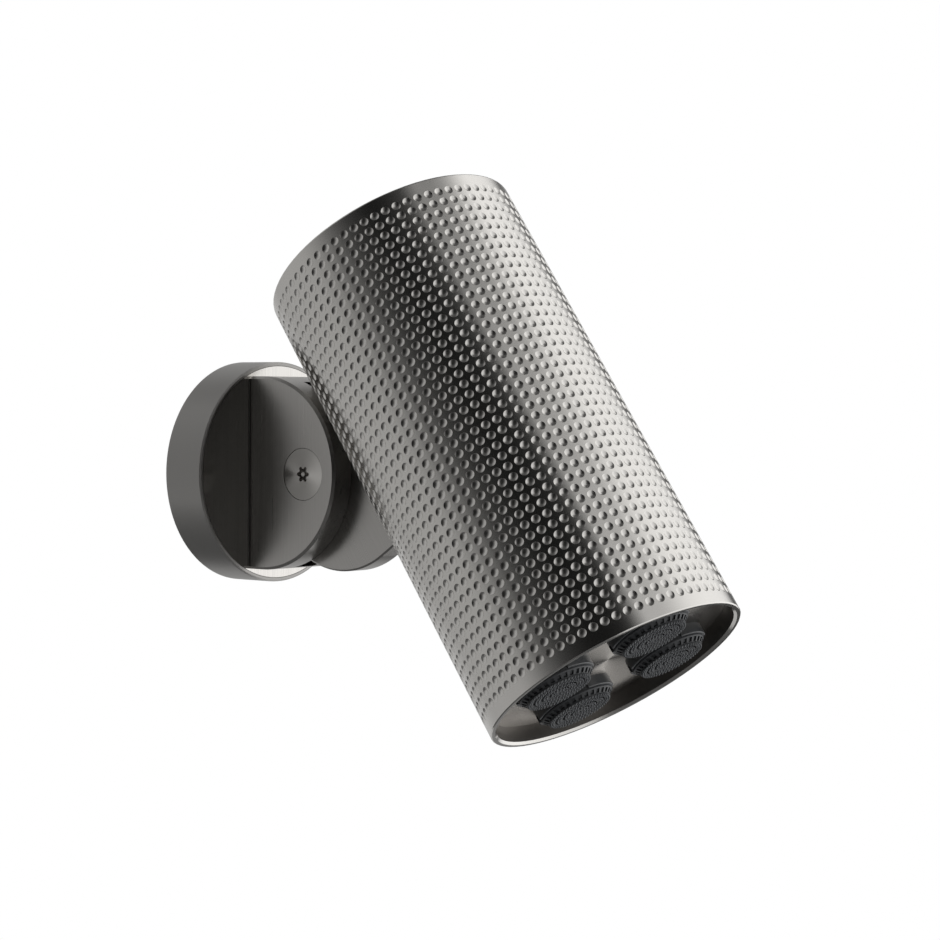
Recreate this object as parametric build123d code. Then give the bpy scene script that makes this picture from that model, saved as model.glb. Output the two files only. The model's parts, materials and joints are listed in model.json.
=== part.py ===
from build123d import *
import os
from math import atan2, degrees, radians, sin

# Wall mounted shower head that tilts on a fork. Sizes are in millimetres.
# +Z is up, the wall is the plane Y = 0, and the head stands out towards -Y.
# The origin is the centre of the rose on the wall.

# Wall rose
rose_diameter = 70.0
rose_depth = 15.0
cover_wall = 1.2
cover_gap = 0.15
cover_chamfer = 0.45
gasket_thickness = 1.5
gasket_edge_gap = 0.4

# Wall thread and its water way
thread_radius = 10.48
thread_length = 14.0
thread_engagement = 10.0
thread_fit_gap = 0.02
thread_chamfer = 1.0
undercut_depth = 1.2
nipple_bore_radius = 7.0
strainer_seat_radius = 8.2
strainer_seat_depth = 8.0
strainer_wall = 0.6
strainer_tip_radius = 3.0
strainer_gap = 0.4
strainer_flange = 1.0
strainer_inset = 0.5
regulator_depth = 5.0
regulator_inset = 2.0
regulator_wall = 1.2
regulator_orifice_radius = 2.0
inlet_ring_section = 1.5

# Hinge base: disc, boss and fork
disc_thickness = 8.0
boss_radius = 17.0
fork_width = 27.0
near_cheek = 8.0
slot_width = 8.0
fork_inset = 3.5
fork_straight = 5.8
fork_bevel = 0.8
slot_clearance = 0.4
slot_steps = 4

# Cover screw
grub_radius = 2.0
grub_length = 4.5
grub_inset = 0.4
grub_out = 11.0
grub_socket_width = 2.0
screw_fit_gap = 0.03

# Pivot
pivot_inset = 13.0
pivot_head_radius = 8.0
pivot_head_thickness = 3.0
pivot_head_gap = 0.15
pivot_head_inset = 0.1
pivot_shank_radius = 6.0
pivot_running_gap = 0.05
pivot_thread_radius = 5.0
pivot_thread_length = 2.2
pivot_bore_radius = 3.0
pivot_port_radius = 1.6
pivot_ports = 4
port_groove_radius = 5.0
duct_offset = 4.0
seal_groove_width = 1.5
seal_offset = 1.0
seal_groove_radius = 4.5
seal_section = 1.36
seal_radius = 5.2
lobe_circle_radius = 1.9
lobe_radius = 0.62
lobe_count = 6
recess_core_radius = 1.75
recess_depth = 1.8
recess_pin_radius = 0.7
spanner_hole_radius = 0.8
spanner_hole_depth = 1.0

# Blade
blade_side_gap = 0.1
blade_inset = 0.4
blade_centre_out = 6.75
blade_centre_drop = 4.85
blade_bevel = 0.5
blade_groove_radius = 7.2
blade_groove_width = 3.0
water_duct_radius = 2.0
washer_radius = 9.5
washer_thickness = 0.58
washer_recess = 0.5
washer_gap = 0.1
seat_gap = 0.03

# Tilt of the head, measured from hanging straight down
head_tilt = 35.0
tilt_lowest = 0.0
tilt_highest = 45.0

# Head tube
tube_diameter = 80.0
tube_wall = 2.0
tube_length = 150.0
tube_above_pivot = 41.2
tube_axis_out = 58.8
tube_top_round = 0.5
mouth_outer_chamfer = 0.3
mouth_inner_bevel = 0.9
tube_hole_gap = 0.15
cap_thickness = 3.5
cap_gap = 0.05
cap_chamfer = 0.4

# Saddle, union and pipe inside the tube
saddle_width = 16.0
saddle_length = 52.0
saddle_thickness = 4.5
saddle_screw_radius = 2.0
saddle_screw_spacing = 34.0
saddle_screw_depth = 7.0
saddle_screw_head_radius = 3.6
saddle_screw_head_height = 2.6
saddle_socket_width = 3.0
union_stem_radius = 2.9
union_stem_depth = 5.5
union_flange_radius = 6.0
union_flange_height = 4.0
union_ring_section = 0.9
union_groove_width = 1.1
pipe_radius = 4.0
pipe_wall = 1.0
pipe_bend_radius = 16.0
pipe_nut_width = 13.0
pipe_nut_length = 8.0

# Core behind the face plate, heights counted up from the mouth
plate_recess = 5.7
plate_thickness = 1.5
plate_gap = 0.08
core_gap = 0.2
body_thickness = 12.8
chamber_depth = 7.0
chamber_inset = 7.2
cover_thickness = 4.0
core_ring_inset = 3.2
core_ring_groove_width = 2.2
core_ring_groove_depth = 1.5
inlet_boss_radius = 5.5
inlet_boss_height = 9.0
rod_radius = 3.0
rod_thread_radius = 2.0
rod_circle_inset = 6.5
rod_thread_in_cap = 2.2
rod_boss_radius = 4.6
rod_count = 4
nut_width = 7.0
nut_thickness = 3.2
nut_pocket_radius = 4.4
nut_inset = 0.2

# Spray modules
module_count = 4
module_circle_inset = 16.4
module_turn = -15.0
stem_inset = 4.0
stem_length = 6.0
stem_gap = 0.05
stem_wall = 2.5
stem_ring_section = 1.1
stem_ring_groove_width = 1.4
stem_ring_height = 3.6
collar_spacing = 6.1
collar_height = 3.2
collar_edge_round = 0.3
collar_wall = 1.2
wide_notch = (7.0, 1.2)
small_notch = (3.0, 1.7)
notch_turn = -45.0
notch_post_width = 0.9
face_rim_inset = 0.8
face_rim_height = 0.45
face_edge_inset = 2.3
face_inset = 0.3
face_edge_height = 0.4
face_skin = 1.2
face_plug_wall = 1.2
window_count = 32
window_width = 1.25
window_height = 1.45
window_depth = 0.5
window_start = 0.1
face_groove_count = 3
face_groove_spacing = 2.5
face_groove_inset = 2.1
face_groove_width = 0.6
face_groove_depth = 0.9

# Worked out from the sizes above
rose_radius = rose_diameter / 2
cover_bore_radius = rose_radius - cover_wall
fork_radius = cover_bore_radius - fork_inset
blade_radius = fork_radius - blade_inset
pivot_out = rose_depth + fork_straight + fork_radius - pivot_inset
near_face_x = -fork_width / 2
far_face_x = fork_width / 2
slot_near_x = near_face_x + near_cheek
slot_far_x = slot_near_x + slot_width
blade_mid_x = (slot_near_x + slot_far_x) / 2
duct_x = slot_far_x + duct_offset
thread_bore_radius = thread_radius + thread_fit_gap
thread_end_out = gasket_thickness + thread_engagement
chamber_end_out = thread_end_out + inlet_ring_section
pivot_bore_wall = pivot_shank_radius + pivot_running_gap
counterbore_radius = pivot_head_radius + pivot_head_gap
head_floor_x = near_face_x + pivot_head_inset + pivot_head_thickness
nut_floor_x = far_face_x - pivot_head_inset - pivot_head_thickness
tube_radius = tube_diameter / 2
tube_bore_radius = tube_radius - tube_wall
pivot_height = tube_length - tube_above_pivot
saddle_face = tube_bore_radius - saddle_thickness
union_ring_radius = (union_flange_radius + union_stem_radius) / 2
chamber_radius = tube_bore_radius - chamber_inset
core_ring_radius = tube_bore_radius - core_ring_inset
rod_circle_radius = tube_bore_radius - rod_circle_inset
module_circle_radius = tube_bore_radius - module_circle_inset
collar_radius = module_circle_radius * sin(radians(180 / module_count)) - collar_spacing / 2
stem_radius = collar_radius - stem_inset
stem_bore_radius = stem_radius - stem_wall
face_rim_radius = collar_radius - face_rim_inset
face_radius = collar_radius - face_edge_inset
body_bottom = plate_recess + plate_thickness
body_top = body_bottom + body_thickness
cover_top = body_top + cover_thickness
inlet_top = cover_top + inlet_boss_height
saddle_screw_heights = (
    pivot_height - blade_centre_drop - saddle_screw_spacing / 2,
    pivot_height - blade_centre_drop + saddle_screw_spacing / 2,
)
seal_places = (
    blade_mid_x - blade_groove_width / 2 - seal_offset,
    blade_mid_x + blade_groove_width / 2 + seal_offset,
    duct_x - water_duct_radius - seal_offset,
    duct_x + water_duct_radius + seal_offset,
)

# Local z runs out of the wall, local y runs up
OUTWARD = Plane(origin=(0, 0, 0), x_dir=(1, 0, 0), z_dir=(0, -1, 0))
# Local x runs out of the wall, local y runs up, local z runs towards -X
SIDE = Plane(origin=(0, 0, 0), x_dir=(0, -1, 0), z_dir=(-1, 0, 0))
# Local z runs along the pivot towards +X
PIVOT = Plane(origin=(0, -pivot_out, 0), x_dir=(0, 1, 0), z_dir=(1, 0, 0))
# The hanging head is turned about the pivot to its tilt
TILTED = Pos(0, -pivot_out, 0) * Rot(-head_tilt, 0, 0)
# Local z runs up the tube from the mouth, local +y points at the pivot
TUBE = TILTED * Pos(0, -tube_axis_out, -pivot_height)


def rod(radius, low, high):
    """Solid cylinder on the local z axis between two heights."""
    return Pos(0, 0, low) * extrude(Circle(radius), high - low)


def ring(outer, inner, low, high):
    """Solid tube on the local z axis between two heights."""
    return rod(outer, low, high) - rod(inner, low - 1, high + 1)


def turned(*points):
    """Solid of revolution about the local z axis from (radius, height) corners."""
    outline = make_face(Polyline(*points, close=True))
    return revolve(Plane.XZ * outline, axis=Axis.Z)


def slab(outline, low_x, high_x):
    """Outline drawn out from the wall and up, thickened between two X values."""
    return SIDE * Pos(0, 0, -high_x) * extrude(outline, high_x - low_x)


def towards_pivot(radius, height, x, near, far):
    """Cylinder across the tube's frame, from y = near to y = far."""
    return Pos(x, far, height) * Rot(90, 0, 0) * rod(radius, 0, far - near)


def hexagon(width):
    """Six sided outline measured across its flats."""
    return RegularPolygon(width / 2, 6, major_radius=False)


def module_places():
    return PolarLocations(module_circle_radius, module_count, module_turn, rotate=False)


def rod_places():
    half_step = 180 / module_count
    return PolarLocations(rod_circle_radius, rod_count, module_turn + half_step)


def wall_nipple():
    body = rod(thread_radius, -thread_length, thread_end_out)
    body = chamfer(body.edges().sort_by(Axis.Z)[0], thread_chamfer)
    body -= ring(thread_radius + 1, thread_radius - undercut_depth, 0, gasket_thickness)
    body -= rod(nipple_bore_radius, -thread_length - 1, thread_end_out + 1)
    body -= rod(strainer_seat_radius, -thread_length - 1, strainer_seat_depth - thread_length)
    return OUTWARD * body


def nipple_o_ring():
    section = inlet_ring_section / 2
    middle = (thread_radius + nipple_bore_radius) / 2
    return OUTWARD * Pos(0, 0, thread_end_out + section) * Torus(middle, section)


def inlet_strainer():
    flange = strainer_seat_radius - thread_fit_gap
    neck = nipple_bore_radius - strainer_gap
    low = strainer_inset - thread_length
    tip = low + strainer_seat_depth - strainer_flange
    return OUTWARD * turned(
        (neck - strainer_wall, low),
        (flange, low),
        (flange, low + strainer_flange),
        (neck, low + strainer_flange),
        (strainer_tip_radius, tip),
        (0, tip),
        (0, tip - strainer_wall),
        (strainer_tip_radius - strainer_wall, tip - strainer_wall),
    )


def flow_regulator():
    top = thread_end_out - regulator_inset
    body = rod(nipple_bore_radius - thread_fit_gap, top - regulator_depth, top)
    body -= rod(regulator_orifice_radius, top - regulator_depth - 1, top + 1)
    groove_outer = nipple_bore_radius - regulator_wall
    groove_inner = regulator_orifice_radius + regulator_wall
    body -= ring(groove_outer, groove_inner, top - regulator_depth / 2, top + 1)
    return OUTWARD * body


def wall_gasket():
    outer = cover_bore_radius - gasket_edge_gap
    inner = thread_radius + gasket_edge_gap
    return OUTWARD * ring(outer, inner, 0, gasket_thickness)


def rose_cover():
    body = ring(rose_radius, cover_bore_radius, 0, rose_depth)
    rim = body.edges().filter_by(GeomType.CIRCLE).group_by(Axis.Z)[-1].sort_by(SortBy.RADIUS)[-1]
    body = chamfer(rim, cover_chamfer)
    body -= grub_line(grub_radius + screw_fit_gap, rose_radius - 2 * cover_wall, rose_radius + 1)
    return OUTWARD * body


def grub_line(radius, inner, outer):
    """Cylinder straight down from the rose's axis between two distances."""
    return Pos(0, -inner, grub_out) * Rot(90, 0, 0) * rod(radius, 0, outer - inner)


def rose_grub_screw():
    outer = rose_radius - grub_inset
    inner = outer - grub_length
    body = grub_line(grub_radius, inner, outer)
    socket = extrude(hexagon(grub_socket_width), grub_length / 2)
    body -= Pos(0, -outer, grub_out) * Rot(-90, 0, 0) * socket
    return OUTWARD * body


def fork_outline():
    arc_centre = rose_depth + fork_straight
    root = rose_depth - disc_thickness / 2
    reach = fork_straight + fork_radius + disc_thickness / 2
    straight = Rectangle(arc_centre - root, 2 * fork_radius, align=(Align.MIN, Align.CENTER))
    keep = Rectangle(reach, 2 * fork_radius, align=(Align.MIN, Align.CENTER))
    rounded = Pos(arc_centre, 0) * Circle(fork_radius) & Pos(root, 0) * keep
    return Pos(root, 0) * straight + rounded


def bevel_outline(body, size, plain_side):
    """Bevel the outline's edges on both flat sides, leaving out the edge at plain_side."""
    for side in (body.faces().sort_by(Axis.X)[0], body.faces().sort_by(Axis.X)[-1]):
        middle = side.center().X
        edges = body.edges().filter_by(lambda e: abs(e.center().X - middle) < 1e-3 and not plain_side(e))
        body = chamfer(edges, size)
    return body


def blade_outline(margin):
    """Coin shaped arc and straight sides of the blade, about the pivot with the head hanging."""
    radius = blade_radius + margin
    reach = tube_axis_out - blade_centre_out
    straight = Rectangle(reach, 2 * radius, align=(Align.MIN, Align.CENTER))
    return Pos(blade_centre_out, -blade_centre_drop) * (Circle(radius) + straight)


def slot_outline():
    """Room for the blade at even steps over its whole travel."""
    room = Sketch()
    for step in range(slot_steps + 1):
        tilt = tilt_lowest + (tilt_highest - tilt_lowest) * step / slot_steps
        room += Pos(pivot_out, 0) * Rot(0, 0, tilt) * blade_outline(slot_clearance)
    return room


def hinge_base():
    disc = rod(cover_bore_radius - cover_gap, rose_depth - disc_thickness, rose_depth)
    disc += rod(boss_radius, gasket_thickness, rose_depth - disc_thickness)
    root = -rose_depth + disc_thickness / 2
    fork = slab(fork_outline(), near_face_x, far_face_x)
    fork = bevel_outline(fork, fork_bevel, lambda e: abs(e.center().Y - root) < 1e-3)
    body = OUTWARD * disc + fork
    body -= slab(slot_outline(), slot_near_x, slot_far_x)
    body -= OUTWARD * rod(thread_bore_radius, 0, chamber_end_out)
    screw_low = rose_radius - grub_inset - grub_length
    body -= OUTWARD * grub_line(grub_radius + screw_fit_gap, screw_low, rose_radius)
    body -= PIVOT * rod(pivot_bore_wall, near_face_x - 1, far_face_x + 1)
    body -= PIVOT * rod(counterbore_radius, near_face_x - 1, head_floor_x)
    body -= PIVOT * rod(counterbore_radius, nut_floor_x, far_face_x + 1)
    duct = Pos(duct_x, 0, 0) * rod(water_duct_radius, chamber_end_out - 1, pivot_out)
    return body - OUTWARD * duct


def six_lobe_recess():
    recess = rod(recess_core_radius, -1, recess_depth)
    for place in PolarLocations(lobe_circle_radius, lobe_count):
        recess += place * rod(lobe_radius, -1, recess_depth)
    return recess - rod(recess_pin_radius, -1, recess_depth)


def pivot_screw():
    head_face = near_face_x + pivot_head_inset
    thread_end = nut_floor_x + pivot_thread_length
    body = rod(pivot_head_radius, head_face, head_floor_x)
    body += rod(pivot_shank_radius, head_floor_x, nut_floor_x)
    body += rod(pivot_thread_radius, nut_floor_x, thread_end)
    outer = pivot_shank_radius + 1
    half_port = blade_groove_width / 2
    body -= ring(outer, port_groove_radius, blade_mid_x - half_port, blade_mid_x + half_port)
    body -= ring(outer, port_groove_radius, duct_x - water_duct_radius, duct_x + water_duct_radius)
    half_seal = seal_groove_width / 2
    for place in seal_places:
        body -= ring(outer, seal_groove_radius, place - half_seal, place + half_seal)
    body -= rod(pivot_bore_radius, blade_mid_x - half_port, thread_end + 1)
    port = Rot(90, 0, 0) * rod(pivot_port_radius, -pivot_shank_radius, pivot_shank_radius)
    for middle in (blade_mid_x, duct_x):
        for number in range(pivot_ports // 2):
            body -= Pos(0, 0, middle) * Rot(0, 0, 360 / pivot_ports * number) * port
    body -= Pos(0, 0, head_face) * six_lobe_recess()
    return PIVOT * body


def pivot_o_rings():
    return [PIVOT * Pos(0, 0, place) * Torus(seal_radius, seal_section / 2) for place in seal_places]


def pivot_nut():
    face = far_face_x - pivot_head_inset
    body = rod(pivot_head_radius, nut_floor_x, face)
    body -= rod(pivot_thread_radius + screw_fit_gap, nut_floor_x - 1, nut_floor_x + pivot_thread_length)
    hole_circle = (pivot_head_radius + pivot_thread_radius) / 2
    for place in PolarLocations(hole_circle, 2):
        body -= place * rod(spanner_hole_radius, face - spanner_hole_depth, face + 1)
    return PIVOT * body


def friction_washers():
    inner = pivot_bore_wall + washer_gap
    near = slot_near_x + blade_side_gap + washer_recess
    far = slot_far_x - blade_side_gap - washer_recess
    return [
        PIVOT * ring(washer_radius, inner, near - washer_thickness, near),
        PIVOT * ring(washer_radius, inner, far, far + washer_thickness),
    ]


def hinge_blade():
    near = slot_near_x + blade_side_gap
    far = slot_far_x - blade_side_gap
    body = slab(blade_outline(0), near, far)
    body = bevel_outline(body, blade_bevel, lambda e: abs(e.center().Y + tube_axis_out) < 1e-3)
    tube = rod(tube_radius + seat_gap, -tube_length, 2 * tube_length)
    body -= Pos(0, -tube_axis_out, -pivot_height) * tube
    across = Plane(origin=(0, 0, 0), x_dir=(0, 1, 0), z_dir=(1, 0, 0))
    body -= across * rod(pivot_bore_wall, near - 1, far + 1)
    half_groove = blade_groove_width / 2
    body -= across * rod(blade_groove_radius, blade_mid_x - half_groove, blade_mid_x + half_groove)
    recess_radius = washer_radius + washer_gap
    body -= across * rod(recess_radius, near - 1, near + washer_recess)
    body -= across * rod(recess_radius, far - washer_recess, far + 1)
    foot = Pos(0, -tube_axis_out, -pivot_height)
    start = tube_radius - 1
    body -= foot * towards_pivot(water_duct_radius, pivot_height, blade_mid_x, start, tube_axis_out)
    stem_end = tube_radius + union_stem_depth
    stem_hole = union_stem_radius + screw_fit_gap
    body -= foot * towards_pivot(stem_hole, pivot_height, blade_mid_x, start, stem_end)
    screw_end = tube_radius + saddle_screw_depth
    screw_hole = saddle_screw_radius + screw_fit_gap
    for height in saddle_screw_heights:
        body -= foot * towards_pivot(screw_hole, height, blade_mid_x, start, screw_end)
    return TILTED * body


def foot_holes(near, far, gap):
    """Holes for the union and the saddle screws through what the foot is fixed to."""
    holes = towards_pivot(union_stem_radius + gap, pivot_height, blade_mid_x, near, far)
    for height in saddle_screw_heights:
        holes += towards_pivot(saddle_screw_radius + gap, height, blade_mid_x, near, far)
    return holes


def head_tube():
    body = ring(tube_radius, tube_bore_radius, 0, tube_length)
    top = body.edges().filter_by(GeomType.CIRCLE).group_by(Axis.Z)[-1].sort_by(SortBy.RADIUS)[-1]
    body = fillet(top, tube_top_round)
    mouth = body.edges().filter_by(GeomType.CIRCLE).group_by(Axis.Z)[0].sort_by(SortBy.RADIUS)
    body = chamfer(mouth[-1], mouth_outer_chamfer)
    mouth = body.edges().filter_by(GeomType.CIRCLE).group_by(Axis.Z)[0].sort_by(SortBy.RADIUS)
    body = chamfer(mouth[0], mouth_inner_bevel)
    body -= foot_holes(tube_bore_radius - 2, tube_radius + 1, tube_hole_gap)
    return TUBE * body


def end_cap():
    body = rod(tube_bore_radius - cap_gap, tube_length - cap_thickness, tube_length)
    body = chamfer(body.edges().sort_by(Axis.Z)[-1], cap_chamfer)
    inner_face = tube_length - cap_thickness
    hole_end = inner_face + rod_thread_in_cap
    for place in rod_places():
        body -= place * rod(rod_thread_radius + screw_fit_gap, inner_face - 1, hole_end)
    return TUBE * body


def backing_saddle():
    body = rod(tube_bore_radius - seat_gap, 0, saddle_length)
    keep = Pos(blade_mid_x, saddle_face, saddle_length / 2) * Box(
        saddle_width, tube_radius, saddle_length, align=(Align.CENTER, Align.MIN, Align.CENTER)
    )
    low = pivot_height - blade_centre_drop - saddle_length / 2
    body = Pos(0, 0, low) * (body & keep)
    body -= foot_holes(saddle_face - 1, tube_radius, screw_fit_gap)
    return TUBE * body


def saddle_screws():
    screws = []
    for height in saddle_screw_heights:
        head_low = saddle_face - saddle_screw_head_height
        screw = towards_pivot(saddle_screw_head_radius, height, blade_mid_x, head_low, saddle_face)
        screw += towards_pivot(
            saddle_screw_radius, height, blade_mid_x, saddle_face, tube_radius + saddle_screw_depth
        )
        socket = extrude(hexagon(saddle_socket_width), saddle_screw_head_height / 2)
        screw -= Pos(blade_mid_x, head_low, height) * Rot(-90, 0, 0) * socket
        screws.append(TUBE * screw)
    return screws


def feed_union():
    flange_low = saddle_face - union_flange_height
    body = towards_pivot(union_flange_radius, pivot_height, blade_mid_x, flange_low, saddle_face)
    body += towards_pivot(
        union_stem_radius, pivot_height, blade_mid_x, saddle_face, tube_radius + union_stem_depth
    )
    body -= towards_pivot(
        water_duct_radius, pivot_height, blade_mid_x, flange_low - 1, tube_radius + union_stem_depth + 1
    )
    outer = union_ring_radius + union_groove_width / 2
    inner = union_ring_radius - union_groove_width / 2
    groove_low = saddle_face - union_ring_section
    groove = towards_pivot(outer, pivot_height, blade_mid_x, groove_low, saddle_face + 1)
    groove -= towards_pivot(inner, pivot_height, blade_mid_x, groove_low, saddle_face + 1)
    return TUBE * (body - groove)


def union_o_ring():
    section = union_ring_section / 2
    place = Pos(blade_mid_x, saddle_face - section, pivot_height) * Rot(90, 0, 0)
    return TUBE * place * Torus(union_ring_radius, section)


def feed_pipe():
    start = saddle_face - union_flange_height
    route = FilletPolyline(
        (blade_mid_x, start, pivot_height),
        (blade_mid_x, 0, pivot_height),
        (blade_mid_x, 0, inlet_top),
        radius=pipe_bend_radius,
    )
    mouth = Plane(origin=route @ 0, z_dir=route % 0)
    pipe = sweep(mouth * (Circle(pipe_radius) - Circle(pipe_radius - pipe_wall)), path=route)
    return TUBE * pipe


def pipe_nuts():
    nut = extrude(hexagon(pipe_nut_width) - Circle(pipe_radius + screw_fit_gap), pipe_nut_length)
    upper = Pos(blade_mid_x, saddle_face - union_flange_height, pivot_height) * Rot(90, 0, 0) * nut
    lower = Pos(blade_mid_x, 0, inlet_top) * nut
    return [TUBE * upper, TUBE * lower]


def core_rods():
    rods = []
    for place in rod_places():
        body = rod(rod_radius, cover_top, tube_length - cap_thickness)
        body += rod(rod_thread_radius, body_bottom + nut_inset, cover_top)
        inner_face = tube_length - cap_thickness
        body += rod(rod_thread_radius, inner_face, inner_face + rod_thread_in_cap)
        rods.append(TUBE * place * body)
    return rods


def core_nuts():
    nut = extrude(hexagon(nut_width) - Circle(rod_thread_radius + screw_fit_gap), nut_thickness)
    low = body_bottom + nut_inset
    return [TUBE * place * Pos(0, 0, low) * nut for place in rod_places()]


def manifold_body():
    outer = tube_bore_radius - core_gap
    body = rod(outer, body_bottom, body_top)
    chamber = rod(chamber_radius, body_top - chamber_depth, body_top + 1)
    for place in rod_places():
        chamber -= place * rod(rod_boss_radius, body_bottom, body_top + 2)
    body -= chamber
    for place in module_places():
        body -= place * rod(stem_radius + stem_gap, body_bottom - 1, body_top)
    for place in rod_places():
        body -= place * rod(rod_thread_radius + screw_fit_gap, body_bottom - 1, body_top + 1)
        body -= place * rod(nut_pocket_radius, body_bottom - 1, body_bottom + nut_inset + nut_thickness)
    half_groove = core_ring_groove_width / 2
    groove_low = body_top - core_ring_groove_depth
    body -= ring(core_ring_radius + half_groove, core_ring_radius - half_groove, groove_low, body_top + 1)
    return TUBE * body


def manifold_o_ring():
    section = core_ring_groove_depth / 2
    return TUBE * Pos(0, 0, body_top - section) * Torus(core_ring_radius, section)


def manifold_cover():
    outer = tube_bore_radius - core_gap
    body = rod(outer, body_top, cover_top)
    body += Pos(blade_mid_x, 0, 0) * rod(inlet_boss_radius, cover_top, inlet_top)
    body -= Pos(blade_mid_x, 0, 0) * rod(pipe_radius - pipe_wall, body_top - 1, inlet_top + 1)
    for place in rod_places():
        body -= place * rod(rod_thread_radius + screw_fit_gap, body_top - 1, cover_top + 1)
    return TUBE * body


def face_plate():
    body = rod(tube_bore_radius - plate_gap, plate_recess, body_bottom)
    for place in module_places():
        body -= place * rod(stem_radius + stem_gap, plate_recess - 1, body_bottom + 1)
    return TUBE * body


def edge_notch(turn, width, depth):
    """Notch in the collar's front edge, open outwards, given by its width and depth."""
    box = Box(2 * collar_wall, width, 2 * depth)
    return Rot(0, 0, turn) * Pos(collar_radius, 0, plate_recess - collar_height) * box


def spray_collar():
    """One collar standing on the plate, heights counted up from the mouth."""
    front = plate_recess - collar_height
    stem_top = plate_recess + stem_length
    body = rod(collar_radius, front, plate_recess)
    body = fillet(body.edges().filter_by(GeomType.CIRCLE).sort_by(Axis.Z)[0], collar_edge_round)
    for side in (0, 180):
        body -= edge_notch(notch_turn + side, *small_notch)
        body -= edge_notch(notch_turn + 90 + side, *wide_notch)
        post = edge_notch(notch_turn + side, notch_post_width, small_notch[1])
        body += post & rod(collar_radius - collar_wall / 2, front, plate_recess)
    body += rod(stem_radius, plate_recess, stem_top)
    body -= rod(stem_bore_radius, front - 1, stem_top + 1)
    groove_middle = plate_recess + stem_ring_height
    half_groove = stem_ring_groove_width / 2
    groove_floor = stem_radius - stem_ring_section
    body -= ring(stem_radius + 1, groove_floor, groove_middle - half_groove, groove_middle + half_groove)
    return body


def spray_face():
    """One rubber face below its collar, with windows round its sloping side and a plug up inside."""
    top = plate_recess - collar_height
    plug = stem_bore_radius - screw_fit_gap
    inside = plug - face_plug_wall
    edge = face_inset + face_edge_height
    body = turned(
        (0, face_inset),
        (face_radius, face_inset),
        (face_radius, edge),
        (face_rim_radius, top - face_rim_height),
        (face_rim_radius, top),
        (plug, top),
        (plug, plate_recess),
        (inside, plate_recess),
        (inside, face_inset + face_skin),
        (0, face_inset + face_skin),
    )
    for number in range(face_groove_count):
        middle = face_radius - face_groove_inset - face_groove_spacing * number
        inner = middle - face_groove_width / 2
        body -= ring(inner + face_groove_width, inner, face_inset - 1, face_inset + face_groove_depth)
    lean = degrees(atan2(face_rim_radius - face_radius, top - face_rim_height - edge))
    box = Box(2 * window_depth, window_width, window_height, align=(Align.CENTER, Align.CENTER, Align.MIN))
    window = Pos(face_radius, 0, edge) * Rot(0, lean, 0) * Pos(0, 0, window_start) * box
    windows = [Rot(0, 0, 360 / window_count * turn) * window for turn in range(window_count)]
    return body - windows


def collar_o_rings():
    middle = plate_recess + stem_ring_height
    seal = Pos(0, 0, middle) * Torus(stem_radius - stem_ring_section / 2, stem_ring_section / 2)
    return [TUBE * place * seal for place in module_places()]


def save(name, shape):
    if isinstance(shape, list):
        shape = Compound(children=shape)
    export_step(shape, "parts/" + name + ".step")


def main():
    os.makedirs("parts", exist_ok=True)
    pieces = (
        wall_nipple,
        nipple_o_ring,
        inlet_strainer,
        flow_regulator,
        wall_gasket,
        rose_cover,
        rose_grub_screw,
        hinge_base,
        pivot_screw,
        pivot_o_rings,
        pivot_nut,
        friction_washers,
        hinge_blade,
        head_tube,
        end_cap,
        backing_saddle,
        saddle_screws,
        feed_union,
        union_o_ring,
        feed_pipe,
        pipe_nuts,
        core_rods,
        core_nuts,
        manifold_body,
        manifold_o_ring,
        manifold_cover,
        face_plate,
        collar_o_rings,
    )
    for piece in pieces:
        save(piece.__name__, piece())
    collar = spray_collar()
    face = spray_face()
    for number, place in enumerate(module_places(), start=1):
        save("spray_collar_" + str(number), TUBE * place * collar)
        save("spray_face_" + str(number), TUBE * place * face)


main()
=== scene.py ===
import bpy
import json
from math import asin, cos, pi, radians, sin, sqrt
from mathutils import Matrix, Vector, geometry
from typing import NamedTuple


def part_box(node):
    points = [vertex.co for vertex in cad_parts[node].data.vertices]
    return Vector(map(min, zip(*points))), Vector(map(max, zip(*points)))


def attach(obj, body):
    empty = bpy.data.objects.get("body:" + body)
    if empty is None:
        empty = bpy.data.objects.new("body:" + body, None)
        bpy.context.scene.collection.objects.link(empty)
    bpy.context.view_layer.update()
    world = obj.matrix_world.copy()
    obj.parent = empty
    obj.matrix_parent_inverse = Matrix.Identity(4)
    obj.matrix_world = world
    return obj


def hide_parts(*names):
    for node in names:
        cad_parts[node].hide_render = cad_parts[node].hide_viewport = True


# Looks of the wall mounted shower head. Sizes are in metres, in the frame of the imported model.

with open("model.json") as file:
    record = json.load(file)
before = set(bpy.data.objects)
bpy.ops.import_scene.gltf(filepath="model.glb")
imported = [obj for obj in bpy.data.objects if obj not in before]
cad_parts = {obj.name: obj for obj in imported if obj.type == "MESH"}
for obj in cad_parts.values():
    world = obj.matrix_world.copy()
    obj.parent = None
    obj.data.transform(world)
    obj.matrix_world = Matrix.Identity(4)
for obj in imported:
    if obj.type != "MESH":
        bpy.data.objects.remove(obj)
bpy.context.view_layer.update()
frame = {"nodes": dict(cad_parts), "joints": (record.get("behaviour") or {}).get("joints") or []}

# Length of the head's tube, and how far its face plate's middle lies above the mouth
tube_length = 0.150
plate_depth = 0.00645

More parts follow.
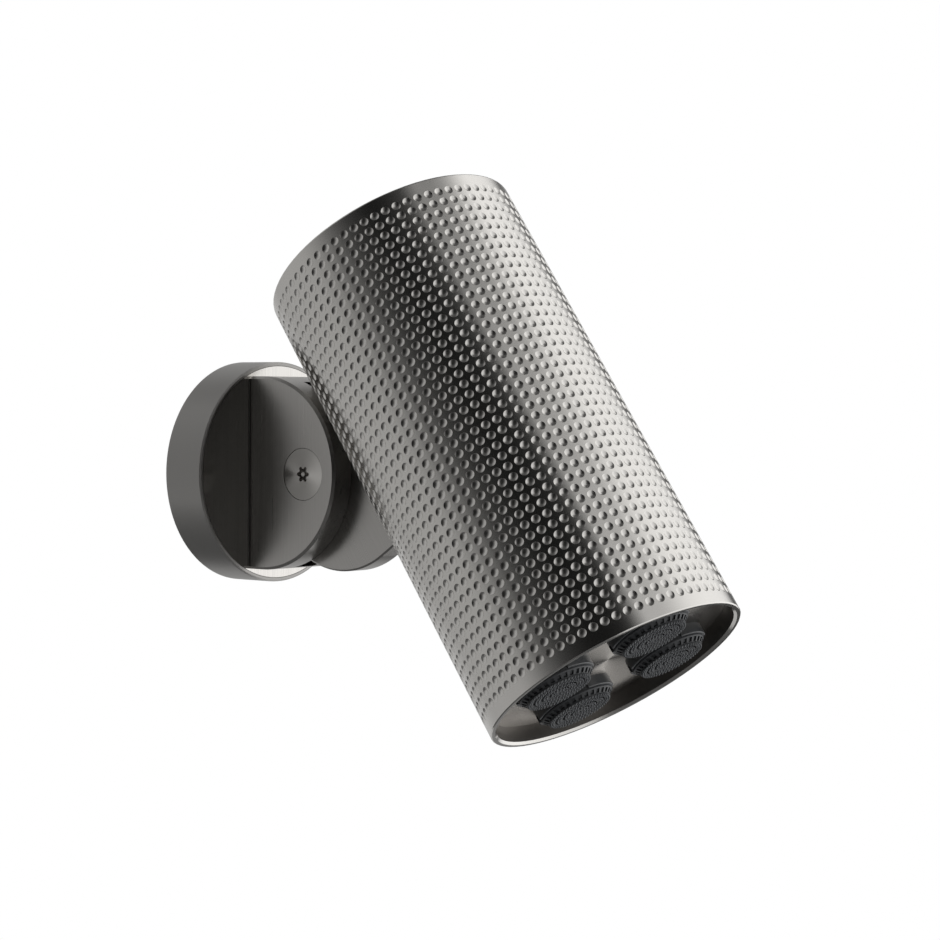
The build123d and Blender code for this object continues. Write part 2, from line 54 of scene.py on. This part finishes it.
# Directions and places taken from the frame. The lower end of the joint's range brings the tube
# upright, so it says how far the tube leans at rest.
origin = Vector((0, 0, 0))
side = Vector((1, 0, 0))
upwards = Vector((0, 0, 1))
away_from_wall = Vector((0, -1, 0))
tilt_joint = frame["joints"][0]
pivot = Vector(tilt_joint["pos_m"])
tube_lean = radians(-tilt_joint["range_deg"][0])
tube_up = Vector((0, sin(tube_lean), cos(tube_lean)))
tube_back = Vector((0, cos(tube_lean), -sin(tube_lean)))
tube_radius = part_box("head_tube")[1].x
plate_low, plate_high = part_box("face_plate")
mouth_centre = (plate_low + plate_high) / 2 - tube_up * plate_depth
rose_depth = -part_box("rose_cover")[0].y
wall_frame = Matrix()
head_axes = Matrix((side, tube_back, tube_up)).transposed().to_4x4()
head_frame = Matrix.Translation(mouth_centre) @ head_axes

# Tube wall and its edges
tube_wall = 0.002
top_round = 0.0005
top_round_steps = 3
mouth_chamfer = 0.0003
mouth_bevel = 0.0007

# Dimples on the tube. The rings are shares of a dimple's radius, from its rim inwards.
dimple_columns = 72
dimple_rows = 41
dimple_margin = 0.0052
dimple_radius = 0.00132
dimple_depth = 0.00042
dimple_sides = 16
dimple_rings = (1.0, 0.72, 0.38)
row_pitch = (tube_length - 2 * dimple_margin) / (dimple_rows - 1)
bowl_radius = (dimple_radius ** 2 + dimple_depth ** 2) / (2 * dimple_depth)

# Fork on the wall disc, and the small rounds where its cheeks rise from the disc
fork_width = 0.027
fork_half_height = 0.0303
fork_bevel = 0.0008
root_round = 0.0005
root_steps = 6

# Spray modules, and the rings of rubber nubs on each one's face
module_count = 4
module_circle = 0.0216
module_turn = radians(-15)
nub_face_height = 0.0003
nub_height = 0.00032
nub_radius = 0.00036
nub_tip = 0.62
nub_sides = 6
nub_pitch = 0.0011
nub_rings = (0.0095, 0.0088, 0.0074, 0.0065, 0.0049, 0.0040, 0.0024, 0.0013)

# Colours of the metals, plastics and rubbers
steel = (0.57, 0.555, 0.53)
bright_steel = (0.62, 0.605, 0.58)
plate_steel = (0.6, 0.57, 0.53)
fork_steel = (0.45, 0.438, 0.42)
dark_steel = (0.35, 0.342, 0.33)
# The bore's steel is darkened as painted shade inside the tube.
bore_steel_painted_shade = (0.2, 0.19, 0.18)
# The steel of the fork's roots is darkened as painted shade in the creases beside the cheeks.
root_steel_painted_shade = (0.12, 0.117, 0.11)
brass = (0.75, 0.58, 0.27)
inner_white = (0.78, 0.78, 0.76)
seal_black = (0.02, 0.02, 0.021)
collar_grey = (0.075, 0.079, 0.083)
face_grey = (0.045, 0.048, 0.052)
nub_grey = (0.11, 0.116, 0.124)

micron = 0.000001

# Brush lines of the metals. Contrast and spread are shares by which the lines change colour and
# roughness. Round an axis the noise swings by speck_swing, which breaks the circular lines into
# specks that are too fine to see, so turned metal keeps only an even sheen.
fine_lines = 0.0003
coarse_lines = 0.0004
rose_lines = 0.00025
line_length = 0.03
line_detail = 1
speck_swing = 2.5
line_contrast = 0.12
roughness_spread = 0.2

# Direction in which a metal blurs what it reflects, in turns from its brush lines
blur_along = 0.0
blur_across = 0.25

# Grain of the plastics and rubbers
grain_detail = 4
grain_contrast = 0.15

# Factors for roughness and colour on the polished disc from which the fork rises. The colour factor
# brightens the disc as a painted highlight.
disc_smoothness = 0.4
disc_painted_highlight = 1.45

# Numbers of the tube's materials on its mesh, in the order of tube_materials
brushed, polished, pressed, turned = range(4)

# Light of the studio all round the head: the compass angle from +X, and the brightness there.
# The ramp of light starts and ends at the seam.
studio_seam = -150
studio_levels = (
    (-137, 0.01),
    (-127, 0.02),
    (-118, 0.35),
    (-107, 0.85),
    (-83, 0.88),
    (-48, 1.25),
    (-21, 1.4),
    (0, 1.28),
    (7, 0.9),
    (14, 0.1),
    (19, 0.02),
    (25, 0.33),
    (33, 0.5),
    (60, 0.62),
    (88, 0.52),
    (109, 0.56),
    (136, 0.53),
    (151, 0.34),
    (161, 0.15),
    (174, 0.04),
    (192, 0.01),
)

# Light from above and below. The studio's walls fade to it between two steepnesses, which are
# sines of the angle above or below level.
overhead_level = 0.1
overhead_start = 0.74
overhead_full = 0.93

# Floor: its edges, its height, its own grey, and how bright the camera sees it with no light
floor_left = -1.4
floor_right = 0.35
floor_front = -1.3
floor_back = 1.2
floor_height = -0.90
floor_level = 0.25
floor_roughness = 0.9
floor_glow = 0.95

# Camera, fitted to the photograph. It sees the middle of the rose's front at rose_pixel.
image_size = 940
focal_pixels = 2476.6
view_azimuth = radians(-50.54)
view_elevation = radians(1.60)
view_roll = radians(0.36)
view_distance = 0.78994
rose_pixel = (278.99, 471.81)
sensor_millimetres = 36
nearest_seen = 0.01


def grey(level):
    """Opaque grey of a level from 0, black, to 1, white, or brighter for light."""
    return level, level, level, 1


def scaled(colour, factor):
    """Opaque colour that is lighter or darker by a factor."""
    return *(part * factor for part in colour), 1


def cross_axes(axis):
    """Two unit directions square to an axis and to each other."""
    most_alike = 0.9
    helper = side if abs(axis.dot(side)) < most_alike else upwards
    first = axis.cross(helper).normalized()
    return first, axis.cross(first).normalized()


class Shader:
    """The node tree of a material or world, with short calls to add and join nodes."""

    def __init__(self, owner):
        self.tree = owner.node_tree
        self.surface = self.tree.nodes.get("Principled BSDF")

    def node(self, kind, **settings):
        made = self.tree.nodes.new(kind)
        for key, value in settings.items():
            setattr(made, key, value)
        return made

    def put(self, source, target):
        """Feeds a socket from another socket, or sets it to a constant."""
        if isinstance(source, bpy.types.NodeSocket):
            self.tree.links.new(source, target)
        else:
            target.default_value = source

    def set(self, **sources):
        """Feeds or sets the surface's sockets, with Base_Color for the one named Base Color."""
        for key, source in sources.items():
            self.put(source, self.surface.inputs[key.replace("_", " ")])

    def vector_math(self, operation, first, second=None):
        made = self.node("ShaderNodeVectorMath", operation=operation)
        self.put(first, made.inputs[0])
        if second is not None:
            self.put(second, made.inputs[1])
        return made.outputs["Value" if operation in ("DOT_PRODUCT", "LENGTH") else "Vector"]

    def math(self, operation, *values):
        made = self.node("ShaderNodeMath", operation=operation)
        for value, socket in zip(values, made.inputs):
            self.put(value, socket)
        return made.outputs["Value"]

    def combine(self, x, y, z):
        made = self.node("ShaderNodeCombineXYZ")
        for value, socket in zip((x, y, z), made.inputs):
            self.put(value, socket)
        return made.outputs["Vector"]

    def place(self):
        return self.node("ShaderNodeTexCoord").outputs["Object"]

    def camera_ray(self):
        return self.node("ShaderNodeLightPath").outputs["Is Camera Ray"]

    def map_range(self, value, low, high):
        made = self.node("ShaderNodeMapRange")
        self.put(value, made.inputs["Value"])
        self.put(low, made.inputs["To Min"])
        self.put(high, made.inputs["To Max"])
        return made.outputs["Result"]

    def noise(self, vector, size, detail, fourth=None):
        """Noise in steps of about the given size, with a place in a fourth direction if wanted."""
        made = self.node("ShaderNodeTexNoise")
        if fourth is not None:
            made.noise_dimensions = "4D"
            self.put(fourth, made.inputs["W"])
        self.put(vector, made.inputs["Vector"])
        self.put(1 / size, made.inputs["Scale"])
        self.put(detail, made.inputs["Detail"])
        return made.outputs["Fac"]

    def mix(self, share, first, second):
        """Colour that goes from the first to the second as the share goes from 0 to 1."""
        made = self.node("ShaderNodeMix", data_type="RGBA")
        sockets = {socket.identifier: socket for socket in (*made.inputs, *made.outputs)}
        self.put(share, sockets["Factor_Float"])
        self.put(first, sockets["A_Color"])
        self.put(second, sockets["B_Color"])
        return sockets["Result_Color"]

    def shade(self, value, colour, contrast):
        """Colour that gets lighter and darker by a share as a value goes from 0 to 1."""
        return self.mix(value, scaled(colour, 1 - contrast), scaled(colour, 1 + contrast))

    def bump(self, height, distance):
        made = self.node("ShaderNodeBump")
        self.put(height, made.inputs["Height"])
        self.put(distance, made.inputs["Distance"])
        return made.outputs["Normal"]


def new_material(name):
    material = bpy.data.materials.new(name)
    material.use_nodes = True
    return material, Shader(material)


def finish_metal(shader, lines, tangent, colour, roughness, anisotropy,
                 line_depth=micron, blur=blur_across):
    """Joins brush lines and the metal's colour to the surface."""
    world = shader.node("ShaderNodeVectorTransform", vector_type="VECTOR",
                        convert_from="OBJECT", convert_to="WORLD")
    shader.put(tangent, world.inputs["Vector"])
    smoothest, roughest = roughness * (1 - roughness_spread), roughness * (1 + roughness_spread)
    shader.set(
        Metallic=1.0,
        Anisotropic=anisotropy,
        Anisotropic_Rotation=blur,
        Tangent=world.outputs["Vector"],
        Base_Color=shader.shade(lines, colour, line_contrast),
        Roughness=shader.map_range(lines, smoothest, roughest),
        Normal=shader.bump(lines, line_depth),
    )


def turned_metal(name, centre, axis, line_pitch=fine_lines, **finish):
    """Metal turned about an axis, which blurs in circles and has fine broken lines."""
    material, shader = new_material(name)
    from_centre = shader.vector_math("SUBTRACT", shader.place(), centre)
    height = shader.vector_math("DOT_PRODUCT", from_centre, axis)
    around = shader.vector_math("CROSS_PRODUCT", axis, from_centre)
    distance = shader.vector_math("LENGTH", around)
    tangent = shader.vector_math("NORMALIZE", around)
    first, second = cross_axes(axis)
    first_share = shader.vector_math("DOT_PRODUCT", tangent, first)
    second_share = shader.vector_math("DOT_PRODUCT", tangent, second)
    drift = shader.math("MULTIPLY", first_share, speck_swing * line_pitch)
    swing = shader.math("MULTIPLY", second_share, speck_swing)
    vector = shader.combine(height, distance, drift)
    lines = shader.noise(vector, line_pitch, line_detail, swing)
    finish_metal(shader, lines, tangent, **finish)
    return material


def straight_metal(name, along, line_pitch=coarse_lines, **finish):
    """Metal with straight brush lines along one direction."""
    material, shader = new_material(name)
    place = shader.place()
    first, second = cross_axes(along)
    run = shader.vector_math("DOT_PRODUCT", place, along)
    vector = shader.combine(
        shader.vector_math("DOT_PRODUCT", place, first),
        shader.vector_math("DOT_PRODUCT", place, second),
        shader.math("MULTIPLY", run, line_pitch / line_length),
    )
    lines = shader.noise(vector, line_pitch, line_detail)
    finish_metal(shader, lines, along, **finish)
    return material


def grained_plastic(name, colour, roughness, grain, depth):
    """Moulded plastic or rubber with a fine surface grain and slight unevenness in colour."""
    material, shader = new_material(name)
    speck = shader.noise(shader.place(), grain, grain_detail)
    shader.set(
        Roughness=roughness,
        Base_Color=shader.shade(speck, colour, grain_contrast),
        Normal=shader.bump(speck, depth),
    )
    return material


def polish_near_wall(material, limit, smoothness, brightness):
    """Changes roughness by a factor up to a distance from the wall, and brightens the colour there by
    a factor as a painted highlight.
    """
    shader = Shader(material)
    distance = shader.vector_math("DOT_PRODUCT", shader.place(), away_from_wall)
    beyond = shader.math("GREATER_THAN", distance, limit)
    rough = shader.surface.inputs["Roughness"].links[0].from_socket
    colour = shader.surface.inputs["Base Color"].links[0].from_socket
    smoothing = shader.map_range(beyond, smoothness, 1.0)
    painted_highlight = shader.map_range(beyond, brightness, 1.0)
    factors = shader.combine(painted_highlight, painted_highlight, painted_highlight)
    shader.set(
        Roughness=shader.math("MULTIPLY", rough, smoothing),
        Base_Color=shader.vector_math("MULTIPLY", colour, factors),
    )


def dress(material, *nodes):
    """Gives a material to nodes of the frame."""
    for node in nodes:
        for slot in frame["nodes"][node].material_slots:
            slot.material = material


def dress_wall_side():
    rose = turned_metal("rose_brushed", origin, away_from_wall, line_pitch=rose_lines,
                        colour=dark_steel, roughness=0.36, anisotropy=0.8)
    dress(rose, "rose_cover")
    fork = straight_metal("fork_brushed", upwards, colour=fork_steel,
                          roughness=0.3, anisotropy=0.7, line_depth=3 * micron)
    # Smoother polish on the disc, and a painted highlight that brightens its colour.
    polish_near_wall(fork, rose_depth + root_round / 2, disc_smoothness, disc_painted_highlight)
    dress(fork, "hinge_base")
    around_pivot = turned_metal("pivot_turned", pivot, side, colour=steel, roughness=0.32,
                                anisotropy=0.95, line_depth=2 * micron, blur=blur_along)
    dress(around_pivot, "pivot_screw", "pivot_nut")
    grub_screw = straight_metal("screw_steel", side, line_pitch=fine_lines,
                                colour=steel, roughness=0.3, anisotropy=0.3)
    dress(grub_screw, "rose_grub_screw")
    nipple = turned_metal("nipple_brass", origin, away_from_wall, colour=brass,
                          roughness=0.28, anisotropy=0.5, line_depth=3 * micron)
    dress(nipple, "wall_nipple")
    strainer = straight_metal("strainer_steel", side, line_pitch=fine_lines,
                              colour=steel, roughness=0.35, anisotropy=0.2)
    dress(strainer, "inlet_strainer")


def dress_seals():
    rubber = grained_plastic("seal_rubber", seal_black, roughness=0.7,
                             grain=0.0004, depth=10 * micron)
    dress(rubber, "wall_gasket", "nipple_o_ring", "pivot_o_rings", "union_o_ring",
          "manifold_o_ring", "collar_o_rings")
    natural = grained_plastic("inner_plastic", inner_white, roughness=0.5,
                              grain=0.0006, depth=5 * micron)
    dress(natural, "flow_regulator", "friction_washers", "manifold_body", "manifold_cover")


def dress_head():
    blade = straight_metal("blade_brushed", tube_up, colour=fork_steel,
                           roughness=0.3, anisotropy=0.7, line_depth=3 * micron)
    dress(blade, "hinge_blade")
    plate = turned_metal("plate_turned", mouth_centre, tube_up, colour=plate_steel,
                         roughness=0.25, anisotropy=0.95)
    dress(plate, "face_plate", "end_cap")
    plain = straight_metal("inner_steel", tube_up, colour=steel, roughness=0.35, anisotropy=0.3)
    dress(plain, "backing_saddle", "saddle_screws", "feed_pipe", "core_rods", "core_nuts")
    fittings = straight_metal("inner_brass", tube_up, colour=brass, roughness=0.3, anisotropy=0.3)
    dress(fittings, "feed_union", "pipe_nuts")
    collar = grained_plastic("collar_plastic", collar_grey, roughness=0.36,
                             grain=0.0003, depth=6 * micron)
    rubber = grained_plastic("spray_rubber", face_grey, roughness=0.5,
                             grain=0.0003, depth=8 * micron)
    for number in range(1, module_count + 1):
        dress(collar, "spray_collar_" + str(number))
        dress(rubber, "spray_face_" + str(number))


class Skin:
    """Collects corners, faces and the normal at each face's corners, then makes a mesh."""

    def __init__(self, base):
        self.base = base
        self.corners = []
        self.faces = []
        self.normals = []
        self.finishes = []

    def corner(self, place):
        self.corners.append(tuple(place))
        return len(self.corners) - 1

    def face(self, numbers, normals, finish=0):
        """Face through numbered corners. The finish is the number of its material."""
        self.faces.append(numbers)
        self.finishes.append(finish)
        self.normals.extend(tuple(normal) for normal in normals)

    def flat_face(self, numbers):
        normal = geometry.normal([Vector(self.corners[number]) for number in numbers])
        self.face(numbers, [normal] * len(numbers))

    def make(self, name, *materials):
        """The collected mesh as an object, brought from its base to its place in the frame."""
        mesh = bpy.data.meshes.new(name)
        mesh.from_pydata(self.corners, [], self.faces)
        mesh.update()
        mesh.polygons.foreach_set("use_smooth", [True] * len(mesh.polygons))
        mesh.normals_split_custom_set(self.normals)
        for material in materials:
            mesh.materials.append(material)
        mesh.polygons.foreach_set("material_index", self.finishes)
        mesh.transform(self.base)
        made = bpy.data.objects.new(name, mesh)
        bpy.context.scene.collection.objects.link(made)
        return made


class Corner(NamedTuple):
    """Numbered corner of the tube's skin, with its normal in a dimple and its normal on the tube."""

    number: int
    in_bowl: Vector
    on_tube: Vector


def at(radius, turn, height):
    """Point at a distance from the axis, an angle about it and a height along it."""
    return Vector((radius * cos(turn), radius * sin(turn), height))


def outwards(turn):
    """Unit direction away from the axis, at an angle about it."""
    return Vector((cos(turn), sin(turn), 0))


def round_pairs(items):
    """Each item with the one after it, and the last with the first."""
    return zip(items, (*items[1:], items[0]))


def column_turn(column):
    """Angle of a column of dimples. A border between columns has a half number."""
    return 2 * pi * column / dimple_columns


def row_height(row):
    """Height of a row of dimples above the mouth. A border between rows has a half number."""
    return dimple_margin + row_pitch * row


def add_ring(skin, radius, height):
    """Ring of corners, one on the left border of each column of dimples."""
    turns = [column_turn(column - 0.5) for column in range(dimple_columns)]
    return [skin.corner(at(radius, turn, height)) for turn in turns]


def add_bands(skin, profile, finishes, joined, edge):
    """Rings of faces between (radius, height) points, with a finish for each band.

    The point numbered joined is a ring of corners that is there already, given as edge.
    """
    rings = []
    for number, (radius, height) in enumerate(profile):
        rings.append(edge if number == joined else add_ring(skin, radius, height))
    for number, finish in enumerate(finishes):
        (radius_a, height_a), (radius_b, height_b) = profile[number:number + 2]
        slope = Vector((height_b - height_a, 0, radius_a - radius_b)).normalized()
        ring, above = rings[number:number + 2]
        for column, following in round_pairs(range(dimple_columns)):
            left, right = column_turn(column - 0.5), column_turn(column + 0.5)
            normals = []
            for turn in (left, right, right, left):
                normals.append(Vector((cos(turn) * slope.x, sin(turn) * slope.x, slope.z)))
            corners = (ring[column], ring[following], above[following], above[column])
            skin.face(corners, normals, finish)


def bowl_depth(distance):
    """Depth of a dimple's round bowl at a distance from its middle."""
    return dimple_depth - bowl_radius + sqrt(bowl_radius ** 2 - distance ** 2)


def bowl_corner(skin, turn, height, distance, bearing):
    """Corner in the bowl of the dimple whose middle is at a turn and height."""
    across, up = distance * cos(bearing), distance * sin(bearing)
    here = turn + across / tube_radius
    number = skin.corner(at(tube_radius - bowl_depth(distance), here, height + up))
    lean = asin(distance / bowl_radius)
    sideways = Vector((-sin(here), cos(here), 0)) * cos(bearing) + upwards * sin(bearing)
    outside = outwards(here)
    return Corner(number, in_bowl=outside * cos(lean) - sideways * sin(lean), on_tube=outside)


def add_tube_face(skin, *corners):
    numbers = [corner.number for corner in corners]
    skin.face(numbers, [corner.on_tube for corner in corners], brushed)


def add_bowl_face(skin, *corners):
    numbers = [corner.number for corner in corners]
    skin.face(numbers, [corner.in_bowl for corner in corners], pressed)


def add_dimple(skin, turn, height, border):
    """One dimple and the square of tube round it, whose four corner numbers go round from low left."""
    first_bearing = -3 * pi / 4
    bearings = [2 * pi * number / dimple_sides + first_bearing for number in range(dimple_sides)]
    rings = []
    for share in dimple_rings:
        distance = dimple_radius * share
        rings.append([bowl_corner(skin, turn, height, distance, way) for way in bearings])
    centre = bowl_corner(skin, turn, height, 0, 0)
    half = pi / dimple_columns
    square = []
    for number, lean in zip(border, (-half, half, half, -half)):
        normal = outwards(turn + lean)
        square.append(Corner(number, in_bowl=normal, on_tube=normal))
    rim = list(round_pairs(rings[0]))
    per_quarter = dimple_sides // len(square)
    for quarter, (corner, next_corner) in enumerate(round_pairs(square)):
        for step in range(per_quarter):
            near, far = rim[quarter * per_quarter + step]
            if step < per_quarter // 2:
                add_tube_face(skin, corner, far, near)
            elif step == per_quarter // 2:
                add_tube_face(skin, corner, next_corner, far, near)
            else:
                add_tube_face(skin, next_corner, far, near)
    for number, following in round_pairs(range(dimple_sides)):
        for outer, inner in zip(rings, rings[1:]):
            add_bowl_face(skin, outer[number], outer[following], inner[following], inner[number])
        add_bowl_face(skin, rings[-1][number], rings[-1][following], centre)


def make_tube():
    """The head's tube in two lengths, with its dimples, rounded top edge and bevelled mouth."""
    bore = tube_radius - tube_wall
    lower_rows = dimple_rows // 2
    joint_height = row_height(lower_rows - 0.5)
    mouth = [
        (bore, joint_height),
        (bore, mouth_bevel),
        (bore + mouth_bevel, 0),
        (tube_radius - mouth_chamfer, 0),
        (tube_radius, mouth_chamfer),
        (tube_radius, row_height(-0.5)),
    ]
    mouth_finishes = (turned, polished, polished, polished, brushed)
    top = [(tube_radius, row_height(dimple_rows - 0.5))]
    for step in range(top_round_steps + 1):
        lean = pi / 2 * step / top_round_steps
        radius = tube_radius - top_round * (1 - cos(lean))
        top.append((radius, tube_length - top_round * (1 - sin(lean))))
    top_finishes = (brushed,) * len(top) + (turned,)
    top.append((bore, tube_length))
    top.append((bore, joint_height))
    materials = tube_materials()
    lower, upper = range(lower_rows), range(lower_rows, dimple_rows)
    last = len(mouth) - 1
    make_tube_length("dimpled_tube_lower", lower, mouth, mouth_finishes, last, materials)
    make_tube_length("dimpled_tube_upper", upper, top, top_finishes, 0, materials)


def tube_materials():
    """Materials of the brushed tube, the polished mouth, the pressed dimples and the turned bore,
    whose dark steel is painted shade inside the tube.
    """
    return (
        turned_metal("tube_brushed", mouth_centre, tube_up, colour=steel,
                     roughness=0.2, anisotropy=0.85, line_depth=1.5 * micron),
        turned_metal("mouth_polished", mouth_centre, tube_up, colour=bright_steel,
                     roughness=0.16, anisotropy=0.3, line_depth=0.3 * micron),
        turned_metal("dimple_pressed", mouth_centre, tube_up, colour=bright_steel,
                     roughness=0.29, anisotropy=0.0, line_depth=0.5 * micron),
        turned_metal("bore_turned", mouth_centre, tube_up, colour=bore_steel_painted_shade,
                     roughness=0.35, anisotropy=0.3),
    )


def make_tube_length(name, rows, profile, finishes, joined, materials):
    """Rows of dimples, and the tube's edge and bore, whose profile meets them at the point joined."""
    skin = Skin(head_frame)
    borders = [add_ring(skin, tube_radius, row_height(row - 0.5)) for row in (*rows, rows[-1] + 1)]
    for row, below, above in zip(rows, borders, borders[1:]):
        for column, following in round_pairs(range(dimple_columns)):
            square = (below[column], below[following], above[following], above[column])
            add_dimple(skin, column_turn(column), row_height(row), square)
    edge = borders[-1] if joined == 0 else borders[0]
    add_bands(skin, profile, finishes, joined, edge)
    tube = skin.make(name, *materials)
    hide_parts("head_tube")
    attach(tube, "head")


def make_fork_roots():
    """Small rounds where the two cheeks of the fork rise from the disc, their dark steel painted shade
    in the crease.
    """
    material = straight_metal("root_brushed", upwards, colour=root_steel_painted_shade,
                              roughness=0.6, anisotropy=0.0)
    make_fork_root("fork_root_near", -1, material)
    make_fork_root("fork_root_far", 1, material)


def make_fork_root(name, cheek, material):
    """Hollow round along one cheek, which is -1 or 1, backed by a corner inside the steel.

    Steps of -cheek turn the faces outwards on both sides.
    """
    skin = Skin(wall_frame)
    half_height = fork_half_height - fork_bevel
    face_x = cheek * fork_width / 2
    centre = Vector((face_x + cheek * root_round, -rose_depth - root_round, 0))
    ways = []
    for step in range(root_steps + 1):
        lean = pi / 2 * step / root_steps
        ways.append(Vector((-cheek * sin(lean), cos(lean), 0)))
    section = [centre + way * root_round for way in ways]
    inset = root_round / 4
    section.append(Vector((face_x - cheek * inset, -rose_depth + inset, 0)))
    low = [skin.corner(point - upwards * half_height) for point in section]
    high = [skin.corner(point + upwards * half_height) for point in section]
    for number, following in round_pairs(range(len(section))):
        corners = (low[number], low[following], high[following], high[number])[::-cheek]
        if max(number, following) < len(ways):
            normals = [-ways[entry] for entry in (number, following, following, number)]
            skin.face(corners, normals[::-cheek])
        else:
            skin.flat_face(corners)
    skin.flat_face(low[::cheek])
    skin.flat_face(high[::-cheek])
    root = skin.make(name, material)
    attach(root, "wall_side")


def add_nub(skin, centre):
    """One small rubber nub standing down from a spray face."""
    rim, tip = [], []
    for number in range(nub_sides):
        way = outwards(2 * pi * number / nub_sides)
        rim.append((skin.corner(centre + way * nub_radius), way))
        low = centre - upwards * nub_height + way * nub_radius * nub_tip
        tip.append((skin.corner(low), (way - upwards).normalized()))
    for number, following in round_pairs(range(nub_sides)):
        add_nub_face(skin, (tip[number], tip[following], rim[following], rim[number]))
    add_nub_face(skin, tip[::-1])


def add_nub_face(skin, corners):
    """Face through corners given as (number, normal)."""
    skin.face([corner[0] for corner in corners], [corner[1] for corner in corners])


def make_nubs():
    """Rings of nubs on each spray face, alternate rings turned by half a step."""
    material = grained_plastic("nub_rubber", nub_grey, roughness=0.45,
                               grain=0.0003, depth=8 * micron)
    for module in range(module_count):
        skin = Skin(head_frame)
        centre = at(module_circle, module_turn + 2 * pi * module / module_count, nub_face_height)
        for ring, radius in enumerate(nub_rings):
            count = round(2 * pi * radius / nub_pitch)
            for number in range(count):
                turn = 2 * pi * (number + 0.5 * (ring % 2)) / count
                add_nub(skin, centre + at(radius, turn, 0))
        nubs = skin.make("spray_nubs_" + str(module + 1), material)
        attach(nubs, "head")


def studio_ramp(shader, direction):
    """Light of the studio's walls in a direction, from a ramp that runs once round the compass."""
    seam = radians(studio_seam)
    ahead = shader.vector_math("DOT_PRODUCT", direction, (-cos(seam), -sin(seam), 0))
    beside = shader.vector_math("DOT_PRODUCT", direction, (sin(seam), -cos(seam), 0))
    turn = shader.math("ARCTAN2", beside, ahead)
    ramp = shader.node("ShaderNodeValToRGB")
    shader.put(shader.math("MULTIPLY_ADD", turn, 1 / (2 * pi), 0.5), ramp.inputs["Fac"])
    stops = ramp.color_ramp.elements
    stops.remove(stops[1])
    for number, (angle, brightness) in enumerate(studio_levels):
        position = (angle - studio_seam) / 360
        stop = stops.new(position) if number else stops[0]
        stop.position = position
        stop.color = grey(brightness)
    return ramp.outputs["Color"]


def light_world():
    """Studio round the head: upright bright and grey walls, and a dark side behind the camera."""
    world = bpy.data.worlds.new("studio")
    bpy.context.scene.world = world
    world.use_nodes = True
    shader = Shader(world)
    direction = shader.node("ShaderNodeTexCoord").outputs["Generated"]
    steep = shader.math("ABSOLUTE", shader.vector_math("DOT_PRODUCT", direction, upwards))
    fade = shader.node("ShaderNodeMapRange", interpolation_type="SMOOTHSTEP")
    shader.put(steep, fade.inputs["Value"])
    shader.put(overhead_start, fade.inputs["From Min"])
    shader.put(overhead_full, fade.inputs["From Max"])
    walls = studio_ramp(shader, direction)
    studio = shader.mix(fade.outputs["Result"], walls, grey(overhead_level))
    seen = shader.mix(shader.camera_ray(), studio, grey(1))
    shader.put(seen, shader.tree.nodes["Background"].inputs["Color"])


def make_floor():
    """Plain pale floor well below the head, white where nothing shades it."""
    corners = [
        (floor_left, floor_front, floor_height),
        (floor_right, floor_front, floor_height),
        (floor_right, floor_back, floor_height),
        (floor_left, floor_back, floor_height),
    ]
    mesh = bpy.data.meshes.new("floor")
    mesh.from_pydata(corners, [], [(0, 1, 2, 3)])
    floor = bpy.data.objects.new("floor", mesh)
    bpy.context.scene.collection.objects.link(floor)
    material, shader = new_material("floor_white")
    shader.set(
        Base_Color=grey(floor_level),
        Roughness=floor_roughness,
        Emission_Color=grey(1),
        Emission_Strength=shader.math("MULTIPLY", shader.camera_ray(), floor_glow),
    )
    mesh.materials.append(material)


def make_camera():
    """Camera at the photograph's place."""
    level = Vector((cos(view_azimuth), sin(view_azimuth), 0))
    back = Vector((
        sin(view_azimuth) * cos(view_elevation),
        -cos(view_azimuth) * cos(view_elevation),
        sin(view_elevation),
    ))
    rising = back.cross(level)
    right = level * cos(view_roll) + rising * sin(view_roll)
    up = rising * cos(view_roll) - level * sin(view_roll)
    metres_per_pixel = view_distance / focal_pixels
    across = (rose_pixel[0] - image_size / 2) * metres_per_pixel
    high = (image_size / 2 - rose_pixel[1]) * metres_per_pixel
    rose_front = away_from_wall * rose_depth
    place = rose_front - right * across - up * high + back * view_distance
    data = bpy.data.cameras.new("camera")
    data.sensor_width = sensor_millimetres
    data.lens = sensor_millimetres * focal_pixels / image_size
    data.clip_start = nearest_seen
    camera = bpy.data.objects.new("camera", data)
    bpy.context.scene.collection.objects.link(camera)
    turn = Matrix((right, up, back)).transposed().to_4x4()
    camera.matrix_world = Matrix.Translation(place) @ turn
    bpy.context.scene.camera = camera


make_camera()
light_world()
make_floor()
dress_wall_side()
make_fork_roots()
dress_seals()
dress_head()
make_tube()
make_nubs()
bpy.context.scene.view_settings.view_transform = "Standard"
